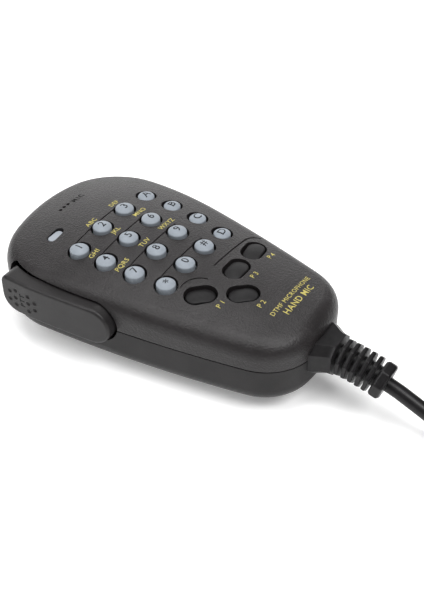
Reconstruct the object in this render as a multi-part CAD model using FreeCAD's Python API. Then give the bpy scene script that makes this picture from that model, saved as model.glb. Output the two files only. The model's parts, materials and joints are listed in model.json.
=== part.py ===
"""Amateur radio hand microphone with a tone keypad, in millimetres.

It lies on its back: +Z is out of the keypad, +Y is the head, -Y the cord, -X the talk lever.
The origin is the middle of the hanger stud's flat end, which is the plane it lies on.
"""
import FreeCAD, Part
import math
import os

Vector = FreeCAD.Vector
X_AXIS = Vector(1, 0, 0)
Y_AXIS = Vector(0, 1, 0)
Z_AXIS = Vector(0, 0, 1)

# Driving dimensions of the housing
HEAD_Y = 36.3
OUTLINE_RADII = (72.4, 20.0, 409.5, 15.67)
OUTLINE_TURNS = (10.01, 83.9, 9.05, 70.55)
REAR_Z = 4.5
PARTING_Z = 16.5
CROWN_Z = 30.5
CROWN_CROSS_R = 86.0
CROWN_LONG_R = 140.0
CROWN_BEND_Y = -12.0
RIM_R = 5.4
REAR_EDGE_R = 4.8
WALL = 2.0
SEAM = 0.35
GROOVE = 0.35

# Keypad
ROW_Y = (8.0, -1.46, -10.92, -20.38)
ROW_PITCH_X = (10.5, 10.55, 10.17, 9.25)
KEY_NAMES = (
    ("key_1", "key_2", "key_3", "key_a"),
    ("key_4", "key_5", "key_6", "key_b"),
    ("key_7", "key_8", "key_9", "key_c"),
    ("key_star", "key_0", "key_hash", "key_d"),
)
KEY_R = 2.72
KEY_RISE = 1.45
LETTER_KEY_R = 2.5
LETTER_RISE = 0.7
KEY_DOME = 0.95
KEY_GAP = 0.68
PROGRAM_BUTTONS = {
    "button_p1": (-11.5, -30.1, -45.0),
    "button_p2": (-4.6, -39.3, -45.0),
    "button_p3": (2.6, -32.5, 0.0),
    "button_p4": (12.9, -31.7, 8.0),
}
OVAL_HOLE = (9.4, 6.4)
OVAL_GAP = 0.55
OVAL_LIP = 0.3
FLANGE_Z = 23.0
FLANGE_T = 0.8
FLANGE_LIP = 0.6
STEM_R = 1.7
STEM_Z = 21.8

# Circuit board and rubber mat
BOARD_Z = 19.0
BOARD_T = 1.6
BOARD_TOP = BOARD_Z + BOARD_T
MAT_T = 1.2
PAD_T = 0.2
PAD_R = 1.9
BOARD_SCREWS = ((-19.2, 14.0), (19.2, 14.0), (-15.6, -37.8), (15.6, -37.8))
COVER_SCREWS = ((-17.5, 26.5), (17.5, 26.5), (-13.6, -46.5), (13.6, -46.5))

# Indicator and microphone
LENS_AT = (-13.3, 18.9)
LENS_SIZE = (5.3, 2.4)
LENS_SLOT = (5.9, 3.0)
MIC_AT = (-1.6, 25.3)
MIC_HOLE_PITCH = 1.7
MIC_HOLE_R = 0.55
CAPSULE_R = 4.0
BOOT_R = 5.0

# Talk lever
LEVER_OUT = 2.72
LEVER_IN = 1.6
LEVER_Y = (-11.8, 24.4)
LEVER_Z = (11.8, 23.8)
LEVER_CORNERS = (5.2, 2.6)
LEVER_GAP = 0.7
LEVER_HEAD_GAP = 1.2
DIMPLES = (
    (21.1, 19.4), (18.9, 20.4), (21.3, 16.4), (19.2, 17.6), (19.2, 15.1),
    (14.5, 20.1), (14.6, 17.5), (12.3, 18.5), (14.7, 14.6), (12.4, 15.9),
)
PIVOT = (-23.2, -7.2)
PIVOT_POST_R = 1.6
PIN_R = 0.85
PIN_CLEARANCE = 0.1
SWITCH_Y = 5.0
SWITCH_Z = 16.0
PLUNGER_X = (-25.0, -21.5)

# Cord and strain relief
CORD_R = 2.1
CORD_Z = 15.8
COIL_AT = (28.4, -121.0)
COIL_R = 24.0
COIL_SIZE = (13.2, 12.9)
TIE_T = 0.8
TIE_W = 5.0
PLUG_SIZE = (21.0, 9.7, 6.6)
RELIEF_SIZE = (15.0, 10.6)
RELIEF_WAIST = (12.0, 8.4)
RIB_SIZE = (10.6, 10.4)
RIB_PITCH = 2.15
RIB_T = 1.25
CLAMP_X = (-6.5, 6.5)
CLAMP_Y = -55.2


def save(name, shape):
    """Write one piece to its own STEP file."""
    shape.exportStep(os.path.join("parts", name + ".step"))


def box(x, y, z):
    """A block from its three (low, high) pairs."""
    return Part.makeBox(x[1] - x[0], y[1] - y[0], z[1] - z[0], Vector(x[0], y[0], z[0]))


def rod(x, y, z, radius):
    """An upright cylinder over the (low, high) pair z."""
    return Part.makeCylinder(radius, z[1] - z[0], Vector(x, y, z[0]))


def join(shapes):
    """Fuse a list of shapes into one solid."""
    shapes = list(shapes)
    return shapes[0].multiFuse(shapes[1:]).removeSplitter()


def group(solids):
    """Several separate solids that share one node."""
    return Part.makeCompound(list(solids))


def prism(wire, z):
    """Extrude a flat wire upwards between the two heights in z."""
    face = Part.Face(wire)
    face.translate(Vector(0, 0, z[0]))
    return face.extrude(Vector(0, 0, z[1] - z[0]))


def slot_wire(length, width):
    """A flat outline with straight sides and two full round ends, centred on the origin."""
    r = width / 2
    c = length / 2 - r
    return Part.Wire(
        [
            Part.makeLine(Vector(-c, -r, 0), Vector(c, -r, 0)),
            Part.Arc(Vector(c, -r, 0), Vector(c + r, 0, 0), Vector(c, r, 0)).toShape(),
            Part.makeLine(Vector(c, r, 0), Vector(-c, r, 0)),
            Part.Arc(Vector(-c, r, 0), Vector(-c - r, 0, 0), Vector(-c, -r, 0)).toShape(),
        ]
    )


def slot(at, size, z, turn=0.0):
    """An upright block with full round ends, turned about Z."""
    solid = prism(slot_wire(*size), z)
    solid.rotate(Vector(0, 0, 0), Z_AXIS, turn)
    solid.translate(Vector(at[0], at[1], 0))
    return solid


def outline(inset):
    """The housing's plan outline: tangent arcs down one side, mirrored, moved inwards by inset."""
    radii = [r - inset for r in OUTLINE_RADII]
    turns = list(OUTLINE_TURNS)
    x, y, heading = 0.0, HEAD_Y - inset, 0.0
    arcs = []

    def bend(radius, turn, x, y, heading):
        def at(h):
            dx = radius * (math.sin(h) - math.sin(heading))
            dy = radius * (math.cos(h) - math.cos(heading))
            return (x + dx, y + dy)

        end = heading + math.radians(turn)
        arcs.append(((x, y), at((heading + end) / 2), at(end)))
        return (*at(end), end)

    for radius, turn in zip(radii, turns):
        x, y, heading = bend(radius, turn, x, y, heading)
    bend(x / math.sin(heading), 180 - sum(turns), x, y, heading)
    edges = []
    for side in (1, -1):
        for points in arcs:
            a, b, c = (Vector(side * px, py, 0) for px, py in points)
            edges.append(Part.Arc(a, b, c).toShape())
    return Part.Wire(Part.sortEdges(edges)[0])


def crown_drop(x, y):
    """How far the keypad face lies below its highest point."""
    across = CROWN_CROSS_R - math.sqrt(CROWN_CROSS_R**2 - x * x)
    if y > CROWN_BEND_Y:
        return across + CROWN_LONG_R - math.sqrt(CROWN_LONG_R**2 - y * y)
    slope = math.tan(math.asin(-CROWN_BEND_Y / CROWN_LONG_R))
    along = CROWN_LONG_R - math.sqrt(CROWN_LONG_R**2 - CROWN_BEND_Y**2)
    return across + along + slope * (CROWN_BEND_Y - y)


def face_z(x, y):
    """Height of the keypad face."""
    return CROWN_Z - crown_drop(x, y)


def crown(inset):
    """Everything under the keypad face: arched towards the head, straight towards the cord."""
    r = CROWN_CROSS_R - inset
    top = CROWN_Z - inset
    half = 45.0
    low = CROWN_Z - 60.0
    rim = math.sqrt(r * r - half * half) - r + top
    arc = Part.Arc(Vector(-half, 0, rim), Vector(0, 0, top), Vector(half, 0, rim)).toShape()
    sides = [
        Part.makeLine(Vector(half, 0, rim), Vector(half, 0, low)),
        Part.makeLine(Vector(half, 0, low), Vector(-half, 0, low)),
        Part.makeLine(Vector(-half, 0, low), Vector(-half, 0, rim)),
    ]
    section = Part.Face(Part.Wire([arc] + sides))
    centre = Vector(0, 0, CROWN_Z - CROWN_LONG_R)
    tail_turn = math.degrees(math.asin(-CROWN_BEND_Y / CROWN_LONG_R))
    section.rotate(centre, X_AXIS, tail_turn)
    head = section.revolve(centre, X_AXIS, -(tail_turn + 19.0))
    along = Vector(0, -math.cos(math.radians(tail_turn)), -math.sin(math.radians(tail_turn)))
    tail = section.extrude(along * 62.0)
    return head.fuse(tail)


def body(inset):
    """The closed outer form of the housing, with every face moved inwards by inset."""
    block = prism(outline(inset), (REAR_Z + inset, CROWN_Z + 2))
    block = block.common(crown(inset))
    top = [e for e in block.Edges if is_rim(block, e)]
    block = block.makeFillet(RIM_R - inset, top)
    low = [e for e in block.Edges if e.BoundBox.ZMax < REAR_Z + inset + 0.01]
    return block.makeFillet(REAR_EDGE_R - inset, low)


def is_rim(block, edge):
    """True for the edges where the crowned face meets the side walls."""
    if edge.BoundBox.ZMin < PARTING_Z or edge.BoundBox.ZMax - edge.BoundBox.ZMin > 5.5:
        return False
    walls = 0
    for face in block.ancestorsOfType(edge, Part.Face):
        u0, u1, v0, v1 = face.ParameterRange
        if abs(face.normalAt((u0 + u1) / 2, (v0 + v1) / 2).z) < 0.01:
            walls += 1
    return walls == 1


def keys():
    """Name, place, cap radius and apex height of every round key."""
    for row, names in enumerate(KEY_NAMES):
        for column, name in enumerate(names):
            x = (column - 1.5) * ROW_PITCH_X[row]
            y = ROW_Y[row]
            cap_r, rise = (LETTER_KEY_R, LETTER_RISE) if column == 3 else (KEY_R, KEY_RISE)
            yield name, x, y, cap_r, face_z(x, y) + rise


def key(x, y, cap_r, apex):
    """A domed rubber cap with the flange that holds it under the cover and its contact stem."""
    sphere_r = (cap_r**2 + KEY_DOME**2) / (2 * KEY_DOME)
    cap = rod(x, y, (FLANGE_Z, apex + 1), cap_r)
    cap = cap.common(Part.makeSphere(sphere_r, Vector(x, y, apex - sphere_r)))
    cap = cap.fuse(rod(x, y, (FLANGE_Z, apex - KEY_DOME), cap_r)).removeSplitter()
    shoulder = [e for e in cap.Edges if abs(e.BoundBox.ZMin - (apex - KEY_DOME)) < 0.05]
    cap = cap.makeFillet(0.5, [e for e in shoulder if e.BoundBox.ZLength < 0.1])
    flange = rod(x, y, (FLANGE_Z, FLANGE_Z + FLANGE_T), cap_r + KEY_GAP + FLANGE_LIP)
    stem = rod(x, y, (STEM_Z, FLANGE_Z), STEM_R)
    return join([cap, flange, stem])


def program_button(x, y, turn):
    """A dark oval button with a softly domed top, its flange and its contact stem."""
    apex = face_z(x, y) - 0.15
    size = (OVAL_HOLE[0] - 2 * OVAL_GAP, OVAL_HOLE[1] - 2 * OVAL_GAP)
    cap = slot((x, y), size, (FLANGE_Z, apex + 1), turn)
    cap = cap.common(Part.makeSphere(16.0, Vector(x, y, apex - 16.0)))
    top = [e for e in cap.Edges if e.BoundBox.ZMin > FLANGE_Z + 0.5 and e.Length > 1]
    top = [e for e in top if abs(e.BoundBox.ZMax - e.BoundBox.ZMin) < 1.0]
    cap = cap.makeFillet(0.45, top)
    lip = (OVAL_HOLE[0] + 2 * OVAL_LIP, OVAL_HOLE[1] + 2 * OVAL_LIP)
    flange = slot((x, y), lip, (FLANGE_Z, FLANGE_Z + FLANGE_T), turn)
    stem = rod(x, y, (STEM_Z, FLANGE_Z), STEM_R)
    return join([cap, flange, stem])


def lever_profile(grow):
    """The talk lever's side view in the Y-Z plane, grown by grow, as a block through the side."""
    y0, y1 = LEVER_Y[0] - grow, LEVER_Y[1] + (LEVER_HEAD_GAP if grow else 0)
    z0, z1 = LEVER_Z[0] - grow, LEVER_Z[1] + grow
    tail_r = (z1 - z0) / 2
    low_r, high_r = LEVER_CORNERS
    bulge = 1 - math.sqrt(0.5)

    def at(y, z):
        return Vector(-45, y, z)

    low_mid = at(y1 - low_r * bulge, z0 + low_r * bulge)
    high_mid = at(y1 - high_r * bulge, z1 - high_r * bulge)
    edges = [
        Part.Arc(at(y0 + tail_r, z1), at(y0, z0 + tail_r), at(y0 + tail_r, z0)).toShape(),
        Part.makeLine(at(y0 + tail_r, z0), at(y1 - low_r, z0)),
        Part.Arc(at(y1 - low_r, z0), low_mid, at(y1, z0 + low_r)).toShape(),
        Part.makeLine(at(y1, z0 + low_r), at(y1, z1 - high_r)),
        Part.Arc(at(y1, z1 - high_r), high_mid, at(y1 - high_r, z1)).toShape(),
        Part.makeLine(at(y1 - high_r, z1), at(y0 + tail_r, z1)),
    ]
    return Part.Face(Part.Wire(edges)).extrude(X_AXIS * 25)


def widest_point():
    """Half width and y where the side walls stand furthest out."""
    turn = math.radians(OUTLINE_TURNS[0])
    end_r, corner_r = OUTLINE_RADII[:2]
    half_width = end_r * math.sin(turn) + corner_r * (1 - math.sin(turn))
    return half_width, HEAD_Y - end_r * (1 - math.cos(turn)) - corner_r * math.cos(turn)


def lever_band(out, inner, z):
    """A band along the talk side: it follows the outline, then runs straight towards the head."""
    half_width, y = widest_point()
    straight = box((-half_width - out, -20), (y, LEVER_Y[1]), z)
    block = prism(outline(-out), z).fuse(straight).removeSplitter()
    return block.cut(prism(outline(inner), (z[0] - 1, z[1] + 1)))


def skin_x(y):
    """X of the talk lever's outer skin at y."""
    half_width, straight_y = widest_point()
    if y > straight_y:
        return -half_width - LEVER_OUT
    line = Part.makeLine(Vector(-60, y, 0), Vector(-5, y, 0))
    return line.common(Part.Face(outline(-LEVER_OUT))).BoundBox.XMin


def on_skin(edge):
    """True for the talk lever's edges that lie on its outer skin."""
    span = edge.LastParameter - edge.FirstParameter
    points = [edge.valueAt(edge.FirstParameter + span * t) for t in (0.05, 0.5, 0.95)]
    return all(abs(p.x - skin_x(p.y)) < 0.1 for p in points)


def talk_lever():
    """The push-to-talk bar: a hollow pad that follows the side, with a hinge eye and a switch nub."""
    pad = lever_band(LEVER_OUT, LEVER_IN, LEVER_Z).common(lever_profile(0))
    pad = pad.makeFillet(0.9, [e for e in pad.Edges if on_skin(e)])
    inner_z = (LEVER_Z[0] + 1.6, LEVER_Z[1] - 1.6)
    hollow = lever_band(LEVER_OUT - 1.6, LEVER_IN + 0.4, inner_z)
    pad = pad.cut(hollow.common(box((-45, -20), (PIVOT[1] + 4.0, LEVER_Y[1] - 2.2), inner_z)))
    pad = pad.cut([Part.makeSphere(0.95, Vector(skin_x(y) - 0.55, y, z)) for y, z in DIMPLES])
    eye_z = (14.3, 22.3)
    pad = pad.cut([rod(*PIVOT, z, PIVOT_POST_R + 0.3) for z in ((10, eye_z[0]), (eye_z[1], 30))])
    eye = rod(*PIVOT, eye_z, 1.8)
    web = box((PIVOT[0] - 4.0, PIVOT[0]), (PIVOT[1] - 1.6, PIVOT[1] + 1.6), eye_z)
    nub_x = skin_x(SWITCH_Y) + 1.2
    nub = Part.makeCylinder(1.5, -25.1 - nub_x, Vector(nub_x, SWITCH_Y, SWITCH_Z), X_AXIS)
    lever = join([pad, eye, web, nub])
    return lever.cut(rod(*PIVOT, (14, 23), PIN_R + PIN_CLEARANCE))


def screw(at, head_r, head_z, shank_r, tip_z):
    """A pan-head screw driven up from below, with a cross slot."""
    head = rod(*at, head_z, head_r)
    shank = rod(*at, (head_z[1], tip_z), shank_r)
    solid = join([head, shank])
    arm = head_r * 1.1
    for w, d in ((arm, 0.5), (0.5, arm)):
        half_w, half_d = w / 2, d / 2
        cross = box(
            (at[0] - half_w, at[0] + half_w),
            (at[1] - half_d, at[1] + half_d),
            (head_z[0] - 0.1, head_z[0] + 0.6),
        )
        solid = solid.cut(cross)
    return solid


def front_cover(outer, inner):
    """The crowned keypad shell with its openings, grooves and screw bosses."""
    upper = box((-50, 50), (-80, 50), (PARTING_Z, 40))
    shell = outer.cut(inner).common(upper)
    within = body(1.0)
    bosses = [rod(x, y, (BOARD_TOP, 32), 2.2) for x, y in BOARD_SCREWS]
    bosses += [rod(x, y, (PARTING_Z, 32), 3.0) for x, y in COVER_SCREWS]
    bosses.append(rod(*MIC_AT, (22.3, 32), BOOT_R + 1.0).cut(rod(*MIC_AT, (21, 33), BOOT_R)))
    shell = shell.fuse([b.common(within) for b in bosses]).removeSplitter()
    cuts = [rod(x, y, (FLANGE_Z, 33), cap_r + KEY_GAP) for _, x, y, cap_r, _ in keys()]
    for x, y, turn in PROGRAM_BUTTONS.values():
        cuts.append(slot((x, y), OVAL_HOLE, (FLANGE_Z, 33), turn))
    cuts.append(slot(LENS_AT, LENS_SLOT, (22, 33)))
    for k in (-1, 0, 1):
        cuts.append(rod(MIC_AT[0] + k * MIC_HOLE_PITCH, MIC_AT[1], (25, 33), MIC_HOLE_R))
    cuts += [rod(x, y, (BOARD_TOP - 1, 24.0), 0.8) for x, y in BOARD_SCREWS]
    cuts += [rod(x, y, (PARTING_Z - 1, 22.5), 1.0) for x, y in COVER_SCREWS]
    cuts += edge_button_blocks(0.3, (30.0, 40.0))
    cuts.append(lever_profile(LEVER_GAP))
    cuts.append(relief_section(RELIEF_WAIST, (-70, -58)))
    seam_z = (PARTING_Z - 1, PARTING_Z + SEAM)
    cuts.append(prism(outline(-2), seam_z).cut(prism(outline(SEAM), (seam_z[0] - 1, 20))))
    shell = shell.cut(cuts)
    lug = rod(*PIVOT, (22.6, 32), PIVOT_POST_R).common(within)
    shell = shell.fuse(lug).cut(rod(*PIVOT, (22, 24.2), PIN_R))
    skin = outer.cut(body(GROOVE))
    return shell.cut([g.common(skin) for g in face_grooves()])


def face_grooves():
    """Upright bands that mark the fine grooves of the keypad face."""
    for row, y in enumerate(ROW_Y):
        left = -1.5 * ROW_PITCH_X[row] - 1.6
        right = 0.5 * ROW_PITCH_X[row] + 3.0
        line_y = y + 2.75
        yield box((left, right), (line_y - 0.2, line_y + 0.25), (20, 33))
    x, y, _ = PROGRAM_BUTTONS["button_p1"]
    ring = rod(x, y, (20, 33), 6.2).cut(rod(x, y, (20, 33), 5.7))
    wedge = box((x - 0.9, x + 8), (y + 1.4, y + 8), (20, 33))
    yield ring.common(wedge)
    yield box((-0.3, 15.8), (-27.35, -26.85), (20, 33))
    bend = rod(15.8, -31.6, (20, 33), 4.75).cut(rod(15.8, -31.6, (20, 33), 4.25))
    yield bend.common(box((15.8, 22), (-29.9, -26), (20, 33)))


def rear_cover(outer, inner):
    """The back shell with screw wells, cord cradle, pivot post and the slide switches' slots."""
    lower = box((-50, 50), (-80, 50), (0, PARTING_Z))
    shell = outer.cut(inner).common(lower)
    floor = REAR_Z + WALL
    posts = [rod(x, y, (REAR_Z, PARTING_Z), 3.6) for x, y in COVER_SCREWS]
    posts = [p.common(body(0.5)) for p in posts]
    posts += [rod(x, CLAMP_Y, (floor - 1, 17.9), 2.0) for x in CLAMP_X]
    posts.append(box((-3, 3), (CLAMP_Y - 2, CLAMP_Y + 2), (floor - 1, CORD_Z)))
    posts.append(rod(0, 0, (floor - 1, floor + 1.0), 6.0))
    for x, y in SLIDERS.values():
        for rib_y in (y - 3.3, y + 5.8):
            posts.append(box((x - 2.3, x + 2.3), (rib_y - 0.3, rib_y + 0.3), (floor - 0.5, 7.6)))
    shell = shell.fuse(posts).removeSplitter()
    cuts = [rod(x, y, (0, 9.5), 2.6) for x, y in COVER_SCREWS]
    cuts += [rod(x, y, (0, 20), 1.2) for x, y in COVER_SCREWS]
    cuts += [rod(x, CLAMP_Y, (13.0, 20), 0.8) for x in CLAMP_X]
    cuts.append(rod(0, 0, (0, 12), 2.0))
    for x, y in SLIDERS.values():
        cuts.append(box((x - 1.9, x + 1.9), (y - 1.9, y + 4.4), (4, 7)))
    cuts.append(lever_profile(LEVER_GAP))
    cuts.append(relief_section(RELIEF_WAIST, (-70, -58)))
    cuts.append(Part.makeCylinder(CORD_R, 20, Vector(0, -45, CORD_Z), Y_AXIS * -1))
    shell = shell.cut(cuts)
    post = rod(*PIVOT, (REAR_Z + 1, 14.0), PIVOT_POST_R).common(body(0.5))
    return shell.fuse(post).cut(rod(*PIVOT, (12.0, 15), PIN_R))


SLIDERS = {"lock_slider": (-11.0, 18.5), "lamp_slider": (11.0, 18.5)}
SLIDER_TRAVEL = 2.5


def slider(x, y):
    """A finger slider that stands a little proud of the back, with its flange inside."""
    knob = box((x - 1.6, x + 1.6), (y - 1.6, y + 1.6), (3.9, 6.6))
    for k in (-0.8, 0.0, 0.8):
        knob = knob.cut(box((x - 2, x + 2), (y + k - 0.15, y + k + 0.15), (3.5, 4.2)))
    flange = box((x - 2.6, x + 2.6), (y - 2.8, y + 2.8), (6.6, 7.3))
    stem = box((x - 0.7, x + 0.7), (y - 0.7, y + 0.7), (7.3, 8.2))
    return join([knob, flange, stem])


def slide_switches():
    """The two switch bodies that the sliders work, held above the back wall."""
    bodies = []
    for x, y in SLIDERS.values():
        case = box((x - 2.3, x + 2.3), (y - 3.4, y + 5.9), (7.6, 11.0))
        case = case.cut(box((x - 1.0, x + 1.0), (y - 1.0, y + 3.5), (7, 8.5)))
        bodies.append(case)
    return group(bodies)


def hanger_stud():
    """The turned metal button that hangs in a mobile bracket, with its threaded shank."""
    disc = rod(0, 0, (0, 1.7), 7.0)
    disc = disc.makeFillet(0.5, [e for e in disc.Edges if e.Closed])
    neck = rod(0, 0, (1.0, REAR_Z), 4.0)
    return join([disc, neck, rod(0, 0, (REAR_Z - 1, 11.0), 2.0)])


def stud_nut():
    """The hexagon nut that clamps the hanger stud from inside."""
    points = [Vector(3.9 * math.cos(a), 3.9 * math.sin(a), 0) for a in (k * math.pi / 3 for k in range(7))]
    return prism(Part.makePolygon(points), (7.5, 10.3)).cut(rod(0, 0, (7, 11), 2.0))


EDGE_BUTTON_X = {"up_button": -8.0, "down_button": 8.0}
EDGE_BUTTON_Z = (17.4, 21.0)
EDGE_BUTTON_LENGTH = 10.0


def edge_button_block(x, grow, y):
    """A block with full round ends that lies along X on the head end, grown by grow."""
    height = EDGE_BUTTON_Z[1] - EDGE_BUTTON_Z[0] + 2 * grow
    solid = prism(slot_wire(EDGE_BUTTON_LENGTH + 2 * grow, height), (0, y[1] - y[0]))
    solid.rotate(Vector(0, 0, 0), X_AXIS, -90)
    solid.translate(Vector(x, y[0], sum(EDGE_BUTTON_Z) / 2))
    return solid


def edge_button_blocks(grow, y):
    return [edge_button_block(x, grow, y) for x in EDGE_BUTTON_X.values()]


def edge_button(x):
    """An up or down button: it stands 0.6 mm proud of the curved head end."""
    front = edge_button_block(x, 0, (31.5, 40))
    front = front.common(prism(outline(-0.6), (10, 30)))
    flange = edge_button_block(x, 0.8, (31.5, 32.3))
    return join([front, flange])


def edge_switches():
    """The two push switches behind the up and down buttons."""
    bodies = []
    for x in EDGE_BUTTON_X.values():
        case = box((x - 3, x + 3), (29.4, 30.4), (17.1, 21.0))
        nub = Part.makeCylinder(1.2, 0.4, Vector(x, 30.4, 19.1), Y_AXIS)
        bodies.append(join([case, nub]))
    return group(bodies)


def main_board():
    """The circuit board under the keys, clear of the cover's screw bosses."""
    points = [(-20.9, 20.4), (20.9, 20.4), (20.9, -18), (18.6, -42.8), (-18.6, -42.8), (-20.9, -18)]
    vectors = [Vector(x, y, 0) for x, y in points]
    board = prism(Part.makePolygon(vectors + vectors[:1]), (BOARD_Z, BOARD_TOP))
    corners = [e for e in board.Edges if e.BoundBox.ZLength > 1]
    board = board.makeFillet(2.0, corners)
    return board.cut([rod(x, y, (BOARD_Z - 1, BOARD_TOP + 1), 1.0) for x, y in BOARD_SCREWS])


def contact_places():
    """Every place where a key or button stem comes down."""
    places = [(x, y) for _, x, y, _, _ in keys()]
    return places + [(x, y) for x, y, _ in PROGRAM_BUTTONS.values()]


BACKLIGHTS = [(x, y) for x in (-10.3, 10.3) for y in (3.27, -6.19, -15.65)]


def keypad_mat():
    """The rubber sheet between board and keys, with a hole at each contact and each lamp."""
    wide = box((-19.2, 19.2), (-34.5, 11.5), (BOARD_TOP, BOARD_TOP + MAT_T))
    tail = box((-12.0, 12.0), (-42.6, -34.5), (BOARD_TOP, BOARD_TOP + MAT_T))
    z = (BOARD_TOP - 1, BOARD_TOP + MAT_T + 1)
    mat = join([wide, tail])
    mat = mat.makeFillet(1.5, [e for e in mat.Edges if e.BoundBox.ZLength > 1])
    cuts = [rod(x, y, z, STEM_R + 0.5) for x, y in contact_places()]
    cuts += [box((x - 1.2, x + 1.2), (y - 0.8, y + 0.8), z) for x, y in BACKLIGHTS]
    return mat.cut(cuts)


def light_blocks():
    """The small lamps that light the keys from the board."""
    z = (BOARD_TOP, BOARD_TOP + 0.6)
    return group(box((x - 0.8, x + 0.8), (y - 0.4, y + 0.4), z) for x, y in BACKLIGHTS)


def surface_parts():
    """Small resistors and capacitors under the board."""
    places = [(x, y) for x in (-12, -8, -4) for y in (-6, -10, -14)]
    z = (BOARD_Z - 0.8, BOARD_Z)
    return group(box((x - 1, x + 1), (y - 0.6, y + 0.6), z) for x, y in places)


def tone_chip():
    """The tone encoder chip under the board, with its legs."""
    z = (BOARD_Z - 2.3, BOARD_Z - 0.2)
    chip = box((1, 11), (-11.7, -4.3), z)
    legs = []
    for k in range(8):
        x = 1.55 + 1.27 * k
        for y in ((-13.2, -11.5), (-4.5, -2.8)):
            legs.append(box((x - 0.2, x + 0.2), y, (BOARD_Z - 0.8, BOARD_Z)))
    return join([chip] + legs)


def indicator_lens():
    """The pale oblong window of the transmit indicator, recessed in the face."""
    top = face_z(*LENS_AT) - 0.45
    cap = slot(LENS_AT, LENS_SIZE, (22.2, top))
    cap = cap.makeFillet(0.25, [e for e in cap.Edges if e.BoundBox.ZMin > top - 0.01])
    flange = slot(LENS_AT, (LENS_SIZE[0] + 2, LENS_SIZE[1] + 2), (24.5, 25.4))
    return join([cap, flange])


def relief_section(size, y, cut=1.0):
    """A block along Y with cut corners, centred on the cord's axis where it leaves the housing."""
    w, h = size[0] / 2, size[1] / 2
    c = min(w, h) * 0.45 * cut
    points = [(w - c, -h), (w, c - h), (w, h - c), (w - c, h), (c - w, h), (-w, h - c), (-w, c - h), (c - w, -h)]
    vectors = [Vector(px, y[0], CORD_Z + pz) for px, pz in points]
    face = Part.Face(Part.makePolygon(vectors + vectors[:1]))
    return face.extrude(Vector(0, y[1] - y[0], 0))


CORD_START = [(0, -53, CORD_Z), (0, -75, CORD_Z), (0, -96, 8.0), (0, -110, CORD_R), (0, -121, CORD_R)]
CORD_END = [
    (6.4, -111.0, 9.6),
    (4.0, -122.0, 12.2),
    (7.4, -133.6, 14.6),
    (15.7, -142.2, 15.1),
    (27.1, -145.9, 15.3),
    (38.6, -143.9, 16.2),
]


def tangent_path(points):
    """Straight runs joined by tangent arcs, as a wire; prints the arc radii."""
    points = [Vector(*p) for p in points]
    edges, radii = [], []
    at = points[0]
    for before, here, after in zip(points, points[1:], points[2:]):
        a = (before - here).normalize()
        b = (after - here).normalize()
        half_turn = (math.pi - a.getAngle(b)) / 2
        reach = 0.45 * min((before - here).Length, (after - here).Length)
        radius = reach / math.tan(half_turn)
        radii.append(round(radius, 1))
        start, end = here + a * reach, here + b * reach
        bisector = (a + b).normalize()
        mid = here + bisector * (radius / math.cos(half_turn) - radius)
        edges.append(Part.makeLine(at, start))
        edges.append(Part.Arc(start, mid, end).toShape())
        at = end
    edges.append(Part.makeLine(at, points[-1]))
    return Part.Wire(edges), radii


def tube(name, points, radius):
    """A cord stretch of round section along a smooth path."""
    path, radii = tangent_path(points)
    first = path.Edges[0]
    direction = first.tangentAt(first.FirstParameter)
    circle = Part.Wire(Part.makeCircle(radius, Vector(*points[0]), direction))
    solid = path.makePipeShell([circle], True, False)
    expected = math.pi * radius**2 * path.Length
    print(name, "radii", radii, "volume / expected", round(solid.Volume / expected, 4))
    return solid


def relief_station(s):
    """Point and direction on the cord's path at s mm past the housing's end wall."""
    path, _ = tangent_path(CORD_START)
    left = s + 9.0
    for edge in path.Edges:
        if left <= edge.Length:
            t = edge.getParameterByLength(left)
            return edge.valueAt(t), edge.tangentAt(t)
        left -= edge.Length
    raise ValueError("station past the end of the cord")


def relief_plate(s, size, thickness, soften):
    """A rib of the strain relief: an octagonal plate square to the cord at station s."""
    place, direction = relief_station(s)
    plate = relief_section(size, (0, -thickness), 1.35)
    plate = plate.makeFillet(soften, plate.Edges)
    tip = math.degrees(math.atan2(direction.z, -direction.y))
    plate.translate(Vector(0, 0, -CORD_Z))
    plate.rotate(Vector(0, 0, 0), X_AXIS, -tip)
    plate.translate(place)
    return plate


def strain_relief(outer):
    """The moulded collar, its ribs and its end block, bent down a little by the cord."""
    inside = relief_section(RELIEF_SIZE, (-57.7, -59.5))
    waist = relief_section(RELIEF_WAIST, (-59.0, -63.0))
    sections = []
    for y, w, h in ((-60.6, 15.2, 10.8), (-62.6, 14.4, 10.6), (-65.0, 11.6, 10.2), (-67.2, 10.6, 10.2)):
        face = relief_section((w, h), (y, y - 0.01))
        wires = [f.OuterWire for f in face.Faces if abs(f.CenterOfMass.y - y) < 0.001]
        sections.append(wires[0])
    collar = Part.makeLoft(sections, True, False).cut(outer)
    path, _ = tangent_path(CORD_START)
    core_points = [relief_station(s)[0] for s in (5.0, 8.0, 11.0, 14.0, 17.0)]
    curve = Part.BSplineCurve()
    curve.interpolate(core_points)
    core_wire = Part.Wire(curve.toShape())
    ring = Part.Wire(Part.makeCircle(3.1, core_points[0], curve.tangent(curve.FirstParameter)[0]))
    core = core_wire.makePipeShell([ring], True, False)
    pieces = [inside, waist, collar, core]
    pieces += [relief_plate(6.2 + RIB_PITCH * k, RIB_SIZE, RIB_T, 0.4) for k in range(5)]
    pieces.append(relief_plate(16.9, (10.6, 10.2), 3.2, 0.9))
    relief = join(pieces)
    bore, _ = tangent_path(CORD_START)
    start = Part.Wire(Part.makeCircle(CORD_R, Vector(*CORD_START[0]), Y_AXIS))
    return relief.cut(bore.makePipeShell([start], True, False))


def coil():
    """The outer shape of the put-away coil: a ring of rounded section that lies on the floor."""
    width, height = COIL_SIZE
    outer, inner = COIL_R + width / 2, COIL_R - width / 2
    ring = rod(*COIL_AT, (0, height), outer).cut(rod(*COIL_AT, (-1, height + 1), inner))
    return ring.makeFillet(CORD_R - 0.1, [e for e in ring.Edges if e.Closed])


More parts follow.
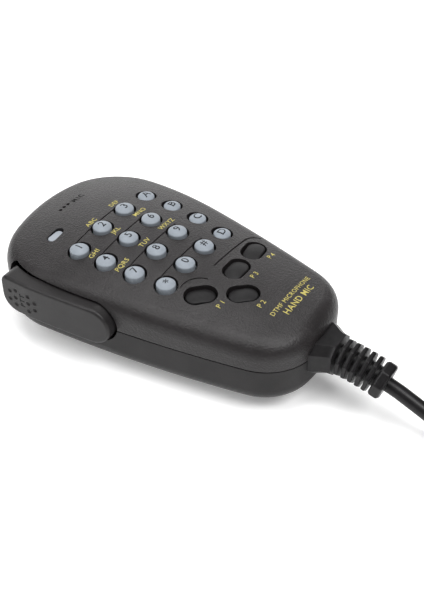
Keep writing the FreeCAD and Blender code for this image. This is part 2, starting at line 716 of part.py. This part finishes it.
def coil_tie():
    """The strap round the coil's section, flat on the floor underneath."""
    width, height = COIL_SIZE
    x = COIL_AT[0] + COIL_R
    y = (COIL_AT[1] - TIE_W / 2, COIL_AT[1] + TIE_W / 2)
    half = width / 2
    outside = box((x - half - TIE_T, x + half + TIE_T), y, (0, height + TIE_T))
    rounded = [e for e in outside.Edges if e.BoundBox.YLength > TIE_W - 0.1]
    outside = outside.makeFillet(2.2, rounded)
    inside = box((x - half, x + half), (y[0] - 1, y[1] + 1), (TIE_T, height))
    rounded = [e for e in inside.Edges if e.BoundBox.YLength > TIE_W]
    inside = inside.makeFillet(1.4, rounded)
    lock = box((x + half, x + half + 4.0), y, (height - 6.0, height - 1.0))
    return join([outside, lock]).cut(inside)


def plug():
    """A modular plug with its latch tongue, and the row of contacts in its nose."""
    length, width, height = PLUG_SIZE
    case = box((0, length), (-width / 2, width / 2), (0, height))
    case = case.cut(Part.makeCylinder(CORD_R, 4.0, Vector(0, 0, height / 2), X_AXIS))
    slots = [contact(k, 0.2, (15.9, length + 1), (-1, 2.0)) for k in range(6)]
    tongue = box((7.0, 20.0), (-1.6, 1.6), (height, height + 0.8))
    tongue.rotate(Vector(20.0, 0, height), Y_AXIS, 6)
    case = join([case.cut(slots), tongue])
    blades = [contact(k, 0.2, (15.9, length - 0.5), (0.3, 2.0)) for k in range(6)]
    return case, group(blades)


def contact(k, half, x, z):
    """Blade or slot number k of the plug's six."""
    y = (k - 2.5) * 1.02
    return box(x, (y - half, y + half), z)


def place_plug(shape):
    """Lay a plug piece on the coil at the cord's far end, its back 4 mm over the cord."""
    before, end = Vector(*CORD_END[-2]), Vector(*CORD_END[-1])
    heading = math.degrees(math.atan2(end.y - before.y, end.x - before.x))
    shape.translate(Vector(-4.0, 0, end.z - PLUG_SIZE[2] / 2))
    shape.rotate(Vector(0, 0, 0), Z_AXIS, heading)
    shape.translate(Vector(end.x, end.y, 0))
    return shape


def main():
    os.makedirs("parts", exist_ok=True)
    outer, inner = body(0), body(WALL)
    save("front_cover", front_cover(outer, inner))
    save("rear_cover", rear_cover(outer, inner))
    save("cover_screws", group(screw(at, 2.2, (7.9, 9.5), 1.0, 22.0) for at in COVER_SCREWS))
    save("hanger_stud", hanger_stud())
    save("stud_nut", stud_nut())
    save("keypad_mat", keypad_mat())
    for name, x, y, cap_r, apex in keys():
        save(name, key(x, y, cap_r, apex))
    for name, (x, y, turn) in PROGRAM_BUTTONS.items():
        save(name, program_button(x, y, turn))
    save("main_board", main_board())
    pad_z = (BOARD_TOP, BOARD_TOP + PAD_T)
    save("contact_pads", group(rod(x, y, pad_z, PAD_R) for x, y in contact_places()))
    save("board_screws", group(screw(at, 1.7, (17.8, BOARD_Z), 0.8, 23.6) for at in BOARD_SCREWS))
    save("backlight_leds", light_blocks())
    save("surface_parts", surface_parts())
    save("tone_chip", tone_chip())
    save("crystal_can", slot((6, -20), (11, 4.6), (BOARD_Z - 3.5, BOARD_Z)))
    save("indicator_lens", indicator_lens())
    x, y = LENS_AT
    save("indicator_led", box((x - 1.5, x + 1.5), (y - 0.8, y + 0.7), (BOARD_TOP, BOARD_TOP + 1.1)))
    save("mic_capsule", rod(*MIC_AT, (21.5, 24.5), CAPSULE_R))
    boot = rod(*MIC_AT, (21.5, 24.8), BOOT_R).cut(rod(*MIC_AT, (20, 24.5), CAPSULE_R))
    save("mic_boot", boot.cut(rod(*MIC_AT, (20, 27), CAPSULE_R - 1.0)))
    save("talk_lever", talk_lever())
    save("lever_pin", rod(*PIVOT, (12.0, 24.2), PIN_R))
    x0 = PLUNGER_X[1] - 1.0
    case = box((x0, x0 + 6.0), (SWITCH_Y - 6.0, SWITCH_Y + 6.0), (13.2, BOARD_Z))
    bore = Part.makeCylinder(1.2, 3.0, Vector(x0 - 0.1, SWITCH_Y, SWITCH_Z), X_AXIS)
    save("talk_switch", case.cut(bore))
    plunger = Part.makeCylinder(1.1, 3.5, Vector(PLUNGER_X[0], SWITCH_Y, SWITCH_Z), X_AXIS)
    save("switch_plunger", plunger)
    for name, x in EDGE_BUTTON_X.items():
        save(name, edge_button(x))
    save("edge_board", box((-13.5, 13.5), (28.3, 29.4), (16.8, 21.2)))
    save("edge_switches", edge_switches())
    for name, (x, y) in SLIDERS.items():
        save(name, slider(x, y))
    save("slide_switches", slide_switches())
    save("strain_relief", strain_relief(outer))
    clamp = box((-9, 9), (CLAMP_Y - 2, CLAMP_Y + 2), (17.9, 19.9))
    save("cord_clamp", clamp.cut([rod(x, CLAMP_Y, (17, 21), 1.0) for x in CLAMP_X]))
    save("clamp_screws", group(clamp_screw(x) for x in CLAMP_X))
    save("board_connector", box((-6, 6), (-39.5, -34.5), (13.6, BOARD_Z)))
    wires = [
        Part.makeCylinder(0.45, 13.5, Vector(x, CORD_START[0][1], CORD_Z + z), Y_AXIS)
        for x in (-0.75, 0.75) for z in (-0.75, 0.75)
    ]
    save("cord_wires", group(wires))
    save("cord_start", tube("cord_start", CORD_START, CORD_R))
    save("cord_coil", coil())
    save("coil_tie", coil_tie())
    save("cord_end", tube("cord_end", CORD_END, CORD_R))
    case, blades = plug()
    save("plug_body", place_plug(case))
    save("plug_contacts", place_plug(blades))


def clamp_screw(x):
    """One of the two screws that hold the cord clamp down, driven from above."""
    solid = screw((x, CLAMP_Y), 1.7, (-21.0, -19.9), 0.8, -13.4)
    solid.rotate(Vector(x, CLAMP_Y, 0), Y_AXIS, 180)
    return solid


main()
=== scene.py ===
"""Looks for the amateur radio hand microphone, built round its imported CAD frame.

Lengths in this script are millimetres in the CAD frame and are turned into metres where a mesh
or curve is made. +Z is out of the keypad, +Y the head, -Y the cord and -X the talk lever.
"""

import json
import math

import bmesh
import bpy
from mathutils import Matrix, Vector


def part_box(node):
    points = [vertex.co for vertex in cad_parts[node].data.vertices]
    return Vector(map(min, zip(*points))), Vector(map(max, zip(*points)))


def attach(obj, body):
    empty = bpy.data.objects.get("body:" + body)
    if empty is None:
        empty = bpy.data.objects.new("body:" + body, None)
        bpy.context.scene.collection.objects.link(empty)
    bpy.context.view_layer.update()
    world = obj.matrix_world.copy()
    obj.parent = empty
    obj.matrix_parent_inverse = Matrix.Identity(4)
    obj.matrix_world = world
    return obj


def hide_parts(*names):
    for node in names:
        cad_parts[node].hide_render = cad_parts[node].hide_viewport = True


MM = 0.001
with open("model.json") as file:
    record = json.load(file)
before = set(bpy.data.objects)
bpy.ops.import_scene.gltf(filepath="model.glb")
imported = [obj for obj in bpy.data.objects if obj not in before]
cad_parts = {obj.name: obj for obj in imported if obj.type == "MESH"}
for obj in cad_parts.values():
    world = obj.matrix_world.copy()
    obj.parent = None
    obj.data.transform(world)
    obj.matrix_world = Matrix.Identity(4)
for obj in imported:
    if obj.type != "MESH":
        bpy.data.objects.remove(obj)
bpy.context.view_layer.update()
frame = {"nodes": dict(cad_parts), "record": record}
nodes = frame["nodes"]
root = "housing"

# The keypad face, as the CAD shapes it: an arch across and along, straight towards the cord
CROWN_Z = 30.5
CROSS_R = 86.0
LONG_R = 140.0
BEND_Y = -12.0

# The cord's route outside its coil, and the coil, as the CAD lays them
CORD_R = 2.1
CORD_START = [(0, -53, 15.8), (0, -75, 15.8), (0, -96, 8.0), (0, -110, 2.1)]
CORD_END = [(33.3, -144.8, 15.8), (38.6, -143.9, 16.2)]
COIL_AT = (28.4, -121.0)
COIL_R = 24.0
COIL_PITCH = 4.4
LAYER_PITCH = 4.3
COIL_COLUMNS = (1, 0, -1, -1, 0, 1, 1, 0, -1)
TURNS_PER_LAYER = 3
COIL_TURNS = 9.25
LEAVE_TURN = 8.55
LEAVE_LENGTH = 0.45
POINTS_PER_TURN = 24
TIE_T = 0.8
TIE_REACH = 6

# The keys' domed caps, and the talk lever's outer skin where its lettering lies
KEY_DOME = 0.95
KEY_R = 2.72
LETTER_KEY_R = 2.5
LETTER_KEYS = ("key_a", "key_b", "key_c", "key_d")
LEVER_LETTERS = (-31.86, 16.8, 17.6)

# Lettering: how far ink stands off the face and a key, and how thick it is
FACE_LIFT = 0.02
KEY_LIFT = 0.015
INK_T = 0.05
GLYPH_SHIFT = 0.1


def mm(*values):
    """Millimetres to a vector in metres."""
    return Vector(values) * MM


def face_z(x, y):
    """Height of the keypad face."""
    across = CROSS_R - math.sqrt(CROSS_R**2 - x * x)
    if y > BEND_Y:
        return CROWN_Z - across - (LONG_R - math.sqrt(LONG_R**2 - y * y))
    slope = math.tan(math.asin(-BEND_Y / LONG_R))
    along = LONG_R - math.sqrt(LONG_R**2 - BEND_Y**2)
    return CROWN_Z - across - along - slope * (BEND_Y - y)


# ---------------------------------------------------------------- camera


def make_camera():
    """The photograph's viewpoint: from the cord end and the talk lever's side, well above."""
    azimuth, elevation = math.radians(-56.417), math.radians(41.362)
    back = Vector(
        (
            math.sin(azimuth) * math.cos(elevation),
            -math.cos(azimuth) * math.cos(elevation),
            math.sin(elevation),
        )
    )
    right = Vector((math.cos(azimuth), math.sin(azimuth), 0))
    up = back.cross(right)
    camera = bpy.data.objects.new("camera", bpy.data.cameras.new("camera"))
    camera.data.sensor_width = 36.0
    camera.data.lens = 62.508
    camera.data.clip_start = 0.01
    camera.data.clip_end = 20
    turn = Matrix((right, up, back)).transposed().to_4x4()
    camera.matrix_world = Matrix.Translation(mm(-185.34, -149.17, 211.27)) @ turn
    bpy.context.scene.collection.objects.link(camera)
    bpy.context.scene.camera = camera


# ---------------------------------------------------------------- materials


class Shader:
    """A node material under construction, with short calls for the nodes that repeat."""

    def __init__(self, name):
        self.material = bpy.data.materials.new(name)
        self.material.use_nodes = True
        self.tree = self.material.node_tree
        self.out = self.tree.nodes["Material Output"]
        self.skin = self.tree.nodes["Principled BSDF"]
        self.place = self.node("ShaderNodeTexCoord").outputs["Object"]

    def node(self, kind, **settings):
        """A new node with its settings."""
        made = self.tree.nodes.new(kind)
        for name, value in settings.items():
            setattr(made, name, value)
        return made

    def join(self, source, target):
        """Link an output socket to an input socket."""
        self.tree.links.new(source, target)

    def noise(self, size, detail=3.0, rough=0.55, stretch=(1, 1, 1)):
        """Noise whose features are about size millimetres wide."""
        spread = self.node("ShaderNodeMapping")
        spread.inputs["Scale"].default_value = stretch
        self.join(self.place, spread.inputs["Vector"])
        made = self.node("ShaderNodeTexNoise")
        made.inputs["Scale"].default_value = 1.0 / (size * MM)
        made.inputs["Detail"].default_value = detail
        made.inputs["Roughness"].default_value = rough
        self.join(spread.outputs[0], made.inputs["Vector"])
        return made.outputs["Fac"]

    def spots(self, size):
        """Round cells about size millimetres wide."""
        made = self.node("ShaderNodeTexVoronoi")
        made.inputs["Scale"].default_value = 1.0 / (size * MM)
        self.join(self.place, made.inputs["Vector"])
        return made.outputs["Distance"]

    def ramp(self, value, low, high, start, end):
        """value mapped from low..high to start..end, clamped."""
        made = self.node("ShaderNodeMapRange")
        made.inputs["From Min"].default_value = low
        made.inputs["From Max"].default_value = high
        made.inputs["To Min"].default_value = start
        made.inputs["To Max"].default_value = end
        self.join(value, made.inputs["Value"])
        return made.outputs["Result"]

    def mix(self, share, a, b):
        """Colour a where share is 0 and b where it is 1; a and b are colours or sockets."""
        made = self.node("ShaderNodeMix", data_type="RGBA")
        self.join(share, made.inputs["Factor"])
        for socket, value in ((made.inputs[6], a), (made.inputs[7], b)):
            if isinstance(value, tuple):
                socket.default_value = (*value, 1)
            else:
                self.join(value, socket)
        return made.outputs[2]

    def math(self, operation, a, b):
        """Two numbers or sockets combined."""
        made = self.node("ShaderNodeMath", operation=operation)
        for socket, value in zip(made.inputs, (a, b)):
            if isinstance(value, (int, float)):
                socket.default_value = value
            else:
                self.join(value, socket)
        return made.outputs[0]

    def edges(self, radius):
        """1 on convex and concave edges within radius millimetres, 0 on open faces."""
        rounded = self.node("ShaderNodeBevel", samples=4)
        rounded.inputs["Radius"].default_value = radius * MM
        plain = self.node("ShaderNodeNewGeometry")
        dot = self.node("ShaderNodeVectorMath", operation="DOT_PRODUCT")
        self.join(rounded.outputs["Normal"], dot.inputs[0])
        self.join(plain.outputs["Normal"], dot.inputs[1])
        return self.ramp(dot.outputs["Value"], 0.995, 0.90, 0.0, 1.0)

    def bump(self, heights, soften):
        """Chain of bumps, each (height socket, depth in mm, strength), over edges softened in mm."""
        rounded = self.node("ShaderNodeBevel", samples=4)
        rounded.inputs["Radius"].default_value = soften * MM
        normal = rounded.outputs["Normal"]
        for height, depth, strength in heights:
            made = self.node("ShaderNodeBump")
            made.inputs["Distance"].default_value = depth * MM
            made.inputs["Strength"].default_value = strength
            self.join(height, made.inputs["Height"])
            self.join(normal, made.inputs["Normal"])
            normal = made.outputs["Normal"]
        self.join(normal, self.skin.inputs["Normal"])


def moulded(name, colour, rough, grain, depth, rub=0.4, specular=0.5, soften=0.15):
    """Moulded plastic: spark-eroded grain, faint clouding and rubbed edges."""
    shader = Shader(name)
    fine = shader.noise(grain, 2.0, 0.6)
    pits = shader.spots(grain * 1.7)
    cloud = shader.noise(9.0, 4.0)
    light = tuple(min(1.0, c * 1.3 + 0.003) for c in colour)
    worn = tuple(min(1.0, c * 1.8 + 0.012) for c in colour)
    tone = shader.mix(shader.ramp(cloud, 0.35, 0.7, 0.0, 1.0), colour, light)
    tone = shader.mix(shader.math("MULTIPLY", shader.edges(0.25), rub), tone, worn)
    shader.join(tone, shader.skin.inputs["Base Color"])
    scatter = shader.ramp(fine, 0.3, 0.7, rough - 0.07, rough + 0.09)
    shader.join(scatter, shader.skin.inputs["Roughness"])
    shader.skin.inputs["Specular IOR Level"].default_value = specular
    shader.bump([(pits, depth * 0.7, 0.6), (fine, depth, 0.8)], soften)
    return shader.material


def rubber(name, colour, rough, depth=0.02, sheen=0.15, through=0.0):
    """Silicone or vinyl: matt, with faint dust, fine pores and a soft sheen."""
    shader = Shader(name)
    pores = shader.noise(0.25, 3.0, 0.6)
    dust = shader.noise(2.5, 5.0, 0.65)
    dusty = tuple(min(1.0, c * 1.12 + 0.004) for c in colour)
    shader.join(
        shader.mix(shader.ramp(dust, 0.45, 0.75, 0.0, 1.0), colour, dusty),
        shader.skin.inputs["Base Color"],
    )
    shader.join(shader.ramp(pores, 0.3, 0.7, rough - 0.06, rough + 0.08), shader.skin.inputs["Roughness"])
    shader.skin.inputs["Sheen Weight"].default_value = sheen
    shader.skin.inputs["Sheen Roughness"].default_value = 0.5
    shader.skin.inputs["Specular IOR Level"].default_value = 0.22
    shader.skin.inputs["Subsurface Weight"].default_value = through
    shader.skin.inputs["Subsurface Radius"].default_value = (0.0008, 0.0008, 0.0009)
    shader.bump([(pores, depth, 0.6)], 0.1)
    return shader.material


def metal(name, colour, rough, turned=False):
    """Plated or turned metal with fine marks and a little tarnish."""
    shader = Shader(name)
    marks = shader.noise(0.15, 2.0, 0.5, (1, 1, 14) if turned else (1, 12, 1))
    stain = shader.noise(1.8, 4.0)
    dull = tuple(c * 0.72 for c in colour)
    shader.join(
        shader.mix(shader.ramp(stain, 0.4, 0.75, 0.0, 1.0), colour, dull),
        shader.skin.inputs["Base Color"],
    )
    shader.join(shader.ramp(marks, 0.3, 0.7, rough - 0.06, rough + 0.1), shader.skin.inputs["Roughness"])
    shader.skin.inputs["Metallic"].default_value = 1.0
    shader.bump([(marks, 0.01, 0.5)], 0.08)
    return shader.material


def ink(name, colour, worn):
    """Printed ink, a little uneven at its edges."""
    shader = Shader(name)
    patch = shader.noise(0.35, 3.0, 0.6)
    shader.join(
        shader.mix(shader.ramp(patch, 0.42, 0.72, 0.0, 1.0), colour, worn),
        shader.skin.inputs["Base Color"],
    )
    shader.join(shader.ramp(patch, 0.3, 0.7, 0.52, 0.7), shader.skin.inputs["Roughness"])
    shader.skin.inputs["Specular IOR Level"].default_value = 0.1
    shader.bump([(patch, 0.01, 0.5)], 0.03)
    return shader.material


def clear_plastic(name, colour, rough, through):
    """Frosted or clear moulding with a slightly wavy surface."""
    shader = Shader(name)
    wave = shader.noise(1.2, 2.0)
    haze = shader.noise(0.4, 3.0)
    pale = tuple(min(1.0, c * 1.15) for c in colour)
    shader.join(shader.mix(haze, colour, pale), shader.skin.inputs["Base Color"])
    shader.join(shader.ramp(haze, 0.3, 0.7, rough, rough + 0.12), shader.skin.inputs["Roughness"])
    shader.skin.inputs["Transmission Weight"].default_value = through
    shader.skin.inputs["IOR"].default_value = 1.49
    shader.bump([(wave, 0.02, 0.4)], 0.1)
    return shader.material


def board_material():
    """Green solder mask over faint copper tracks."""
    shader = Shader("solder_mask")
    weave = shader.noise(0.5, 2.0, 0.5, (4, 1, 1))
    tracks = shader.spots(2.4)
    tone = shader.mix(shader.ramp(tracks, 0.25, 0.3, 0.0, 1.0), (0.02, 0.2, 0.07), (0.012, 0.11, 0.045))
    shader.join(tone, shader.skin.inputs["Base Color"])
    shader.join(shader.ramp(weave, 0.3, 0.7, 0.25, 0.4), shader.skin.inputs["Roughness"])
    shader.bump([(weave, 0.01, 0.4)], 0.05)
    return shader.material


MATERIALS = {
    "housing": moulded("housing_plastic", (0.0125, 0.0108, 0.0112), 0.38, 0.38, 0.14, specular=0.32),
    # The rear and lever plastics have a lower specular level than the housing's, which paints shade on
    # the back and the lever; their colour is also slightly darker.
    "rear_housing": moulded("rear_plastic_painted_shade", (0.0105, 0.0095, 0.0098), 0.42, 0.25, 0.02, specular=0.22),
    "lever": moulded("lever_plastic_painted_shade", (0.0115, 0.0105, 0.0108), 0.42, 0.25, 0.02, 0.5, 0.27),
    "key_rubber": rubber("key_silicone", (0.225, 0.25, 0.28), 0.5, 0.01, 0.05, 0.1),
    "button_rubber": rubber("button_silicone", (0.007, 0.0065, 0.007), 0.5, 0.012, 0.0),
    "mat_rubber": rubber("mat_silicone", (0.2, 0.2, 0.21), 0.6),
    "cord_rubber": rubber("cord_vinyl", (0.0065, 0.006, 0.0065), 0.36, 0.012, 0.02),
    "board": board_material(),
    "contact": rubber("contact_carbon", (0.01, 0.01, 0.01), 0.7, 0.02),
    "steel": metal("plated_steel", (0.55, 0.55, 0.56), 0.3),
    "stud_metal": metal("turned_steel", (0.6, 0.6, 0.61), 0.26, True),
    "chip": moulded("chip_epoxy", (0.012, 0.012, 0.013), 0.5, 0.15, 0.01),
    "lens": clear_plastic("frosted_lens", (0.24, 0.26, 0.29), 0.35, 0.0),
    "led": clear_plastic("lamp_moulding", (0.8, 0.8, 0.74), 0.2, 0.5),
    "switch_case": moulded("switch_plastic", (0.03, 0.03, 0.034), 0.4, 0.2, 0.01),
    "white_nylon": moulded("white_nylon", (0.62, 0.62, 0.58), 0.45, 0.2, 0.01, rub=0.0),
    "copper": metal("tinned_wire", (0.75, 0.5, 0.36), 0.3),
    "gold": metal("gold_plate", (0.9, 0.66, 0.27), 0.22),
    "plug_clear": clear_plastic("plug_polycarbonate", (0.75, 0.78, 0.8), 0.08, 0.85),
    "capsule": metal("drawn_aluminium", (0.8, 0.8, 0.81), 0.3, True),
}
YELLOW_INK = ink("yellow_ink", (0.46, 0.40, 0.12), (0.32, 0.28, 0.09))
DARK_INK = ink("dark_ink", (0.012, 0.013, 0.016), (0.03, 0.032, 0.036))
BLACK_INK = ink("black_ink", (0.002, 0.002, 0.002), (0.004, 0.004, 0.004))
LEVER_INK = ink("lever_ink", (0.003, 0.003, 0.003), (0.006, 0.006, 0.006))


def dress_frame():
    """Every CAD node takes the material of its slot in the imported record."""
    for row in frame["record"]["subparts"]:
        slots = nodes[row["node"]].data.materials
        slots.clear()
        slots.append(MATERIALS[row["material_slot"]])


# ---------------------------------------------------------------- cord


def smooth(share):
    """0 to 1 with level ends."""
    share = min(1.0, max(0.0, share))
    return share * share * (3 - 2 * share)


def coil_point(turn):
    """A point of the coil, in millimetres; turn counts from 0 where the cord arrives.

    Three layers of three turns: inwards on the floor, outwards above it, inwards on top. The
    last part then climbs back over the top layer to the plug. Each turn moves to the next
    column in its last quarter, and the cord is lifted where the strap passes under it.
    """
    last = len(COIL_COLUMNS) - 1
    whole = min(last, int(turn))
    after = min(last, whole + 1)
    change = smooth(4 * (turn - whole) - 3)
    leave = smooth((turn - LEAVE_TURN) / LEAVE_LENGTH)
    column = COIL_COLUMNS[whole] + (COIL_COLUMNS[after] - COIL_COLUMNS[whole]) * change
    layer, next_layer = whole // TURNS_PER_LAYER, after // TURNS_PER_LAYER
    level = layer + (next_layer - layer) * change
    radius = COIL_R + COIL_PITCH * (column + leave)
    angle = math.pi + turn * 2 * math.pi
    lift = TIE_T * math.exp(-((math.sin(angle / 2) * COIL_R / TIE_REACH) ** 2))
    x = COIL_AT[0] + radius * math.cos(angle)
    y = COIL_AT[1] + radius * math.sin(angle)
    return (x, y, CORD_R + LAYER_PITCH * (level + leave) + lift)


def cord_route():
    """All control points: out of the housing, the turns of the coil, and up to the plug."""
    steps = round(COIL_TURNS * POINTS_PER_TURN)
    turns = [coil_point(k / POINTS_PER_TURN) for k in range(steps)]
    return CORD_START + turns + CORD_END


def make_cord():
    """The whole lead as one piece, in place of the three plain CAD solids."""
    curve = bpy.data.curves.new("cord", "CURVE")
    curve.dimensions = "3D"
    curve.bevel_depth = CORD_R * MM
    curve.bevel_resolution = 6
    curve.use_fill_caps = True
    curve.resolution_u = 4
    route = cord_route()
    spline = curve.splines.new("NURBS")
    spline.points.add(len(route) - 1)
    for point, at in zip(spline.points, route):
        point.co = (*mm(*at), 1)
    spline.order_u = 3
    spline.use_endpoint_u = True
    cord = bpy.data.objects.new("cord", curve)
    bpy.context.scene.collection.objects.link(cord)
    curve.materials.append(MATERIALS["cord_rubber"])
    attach(cord, root)
    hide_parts("cord_start", "cord_coil", "cord_end")


# ---------------------------------------------------------------- lettering


def flat_text(name, text, height, spread=1.0, bold=0.0):
    """A bmesh of the text, centred, height millimetres tall for a capital, on the plane z = 0."""
    curve = bpy.data.curves.new(name, "FONT")
    curve.body = text
    curve.size = height / 0.7
    curve.offset = bold
    curve.space_character = spread
    curve.resolution_u = 3
    made = bpy.data.objects.new(name, curve)
    bpy.context.scene.collection.objects.link(made)
    bpy.context.view_layer.update()
    mesh = bpy.data.meshes.new_from_object(made)
    bpy.data.objects.remove(made)
    form = bmesh.new()
    form.from_mesh(mesh)
    bpy.data.meshes.remove(mesh)
    bmesh.ops.remove_doubles(form, verts=form.verts, dist=1e-5)
    xs = [v.co.x for v in form.verts]
    ys = [v.co.y for v in form.verts]
    middle = Vector(((min(xs) + max(xs)) / 2, (min(ys) + max(ys)) / 2, 0))
    bmesh.ops.translate(form, verts=form.verts, vec=-middle)
    return form


def slice_up(form, step):
    """Cut a flat form along a grid, so that it can follow a curved surface."""
    xs = [v.co.x for v in form.verts]
    ys = [v.co.y for v in form.verts]
    for axis, low, high in ((0, min(xs), max(xs)), (1, min(ys), max(ys))):
        at = low + step
        while at < high:
            point, normal = [0, 0, 0], [0, 0, 0]
            point[axis], normal[axis] = at, 1
            everything = form.verts[:] + form.edges[:] + form.faces[:]
            bmesh.ops.bisect_plane(form, geom=everything, plane_co=point, plane_no=normal)
            at += step


def lay_text(name, text, height, body, material, place, step=0.6, **style):
    """Text laid on a surface: place(x, y) turns flat millimetres into a point in the frame."""
    form = flat_text(name, text, height, **style)
    slice_up(form, step)
    for v in form.verts:
        v.co = mm(*place(v.co.x, v.co.y))
    mesh = bpy.data.meshes.new(name)
    form.to_mesh(mesh)
    form.free()
    piece = bpy.data.objects.new(name, mesh)
    bpy.context.scene.collection.objects.link(piece)
    mesh.materials.append(material)
    thick = piece.modifiers.new("ink", "SOLIDIFY")
    thick.thickness = INK_T * MM
    thick.offset = -1
    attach(piece, body)
    return piece


def on_face(at_x, at_y):
    """A placing function for text on the keypad face, centred at (at_x, at_y)."""
    return lambda x, y: (at_x + x, at_y + y, face_z(at_x + x, at_y + y) + FACE_LIFT)


def on_key(node):
    """A placing function for a glyph on a key's dome, a little towards the head."""
    low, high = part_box(node)
    x0 = (low.x + high.x) / 2 / MM
    y0 = (low.y + high.y) / 2 / MM
    apex = high.z / MM
    cap_r = LETTER_KEY_R if node in LETTER_KEYS else KEY_R
    sphere = (cap_r**2 + KEY_DOME**2) / (2 * KEY_DOME)

    def place(x, y):
        y += GLYPH_SHIFT
        drop = sphere - math.sqrt(sphere**2 - x * x - y * y)
        return (x0 + x, y0 + y, apex - drop + KEY_LIFT)

    return place


def label_keys():
    """One glyph on each round key, which moves with it."""
    glyphs = {f"key_{c}": c for c in "0123456789"}
    glyphs |= {f"key_{c}": c.upper() for c in "abcd"}
    glyphs |= {"key_star": "*", "key_hash": "#"}
    for node, glyph in glyphs.items():
        height = 2.7 if glyph == "*" else 2.35
        place = on_key(node)
        lay_text(f"{node}_glyph", glyph, height, f"{node}_body", DARK_INK, place, step=0.3, bold=0.03)


def label_face():
    """The printing on the keypad face, all of it generic."""
    letters = {
        "ABC": (-4.7, 12.6),
        "DEF": (6.4, 12.9),
        "GHI": (-14.9, 3.5),
        "JKL": (-4.4, 3.7),
        "MNO": (6.7, 3.7),
        "PQRS": (-14.4, -6.1),
        "TUV": (-4.1, -6.1),
        "WXYZ": (6.4, -6.1),
        "P 1": (-11.4, -36.3),
        "P 2": (-4.9, -45.2),
        "P 3": (3.5, -37.7),
        "P 4": (14.3, -36.6),
    }
    for text, at in letters.items():
        name = "label_" + text.replace(" ", "").lower()
        lay_text(name, text, 1.5, root, YELLOW_INK, on_face(*at), spread=1.05, bold=0.01)
    lay_text("label_type", "DTMF MICROPHONE", 1.35, root, YELLOW_INK, on_face(2.95, -49.6), spread=1.12)
    lay_text("label_kind", "HAND MIC", 1.9, root, YELLOW_INK, on_face(2.9, -52.2), spread=1.08, bold=0.02)
    lay_text("label_mic", "MIC", 1.7, root, BLACK_INK, on_face(4.2, 25.0), spread=1.3, bold=0.04)


def on_lever(x, y):
    """Place text on the talk lever's outer skin, read upwards from the back of the microphone."""
    skin_x, middle_y, middle_z = LEVER_LETTERS
    return (skin_x, middle_y + y, middle_z + x)


def label_lever():
    """The lever's lettering, which moves with it."""
    lay_text("label_ptt", "PTT", 1.6, "talk_lever_body", LEVER_INK, on_lever, spread=1.25, bold=0.03)


# ---------------------------------------------------------------- stage


def area_light(name, at, towards, size, power):
    """A white rectangular light at a place in metres, aimed at a point."""
    light = bpy.data.lights.new(name, "AREA")
    light.shape = "RECTANGLE"
    light.size, light.size_y = size
    light.energy = power
    holder = bpy.data.objects.new(name, light)
    holder.location = at
    holder.rotation_euler = (Vector(towards) - Vector(at)).to_track_quat("-Z", "Y").to_euler()
    bpy.context.scene.collection.objects.link(holder)


def make_stage():
    """A wide, faintly glowing white floor, soft lights from above and one low behind."""
    mesh = bpy.data.meshes.new("floor")
    form = bmesh.new()
    bmesh.ops.create_grid(form, x_segments=2, y_segments=2, size=3.0)
    form.to_mesh(mesh)
    form.free()
    floor = bpy.data.objects.new("floor", mesh)
    bpy.context.scene.collection.objects.link(floor)
    shader = Shader("studio_floor")
    paper = shader.noise(30.0, 4.0)
    shader.join(
        shader.mix(paper, (0.86, 0.86, 0.86), (0.88, 0.88, 0.88)), shader.skin.inputs["Base Color"]
    )
    shader.skin.inputs["Roughness"].default_value = 0.9
    shader.skin.inputs["Specular IOR Level"].default_value = 0.1
    shader.skin.inputs["Emission Color"].default_value = (1, 1, 1, 1)
    shader.skin.inputs["Emission Strength"].default_value = 0.25
    mesh.materials.append(shader.material)
    world = bpy.data.worlds.new("studio")
    world.use_nodes = True
    sky = world.node_tree.nodes["Background"]
    sky.inputs["Color"].default_value = (1, 1, 1, 1)
    sky.inputs["Strength"].default_value = 0.08
    bpy.context.scene.world = world
    centre = (0, -0.01, 0.01)
    area_light("key_light", (-0.52, 0.33, 0.76), centre, (0.45, 0.45), 4.0)
    area_light("front_light", (-0.12, -0.52, 0.82), centre, (0.5, 0.4), 7.0)
    area_light("top_light", (0.08, 0.10, 0.95), centre, (0.6, 0.6), 6.0)
    area_light("back_light", (0.7, 0.6, 0.35), centre, (1.4, 0.45), 5.0)
    bpy.context.scene.view_settings.view_transform = "Standard"
    bpy.context.scene.view_settings.look = "None"


def main():
    """Build everything."""
    make_camera()
    make_cord()
    dress_frame()
    label_keys()
    label_face()
    label_lever()
    make_stage()


main()
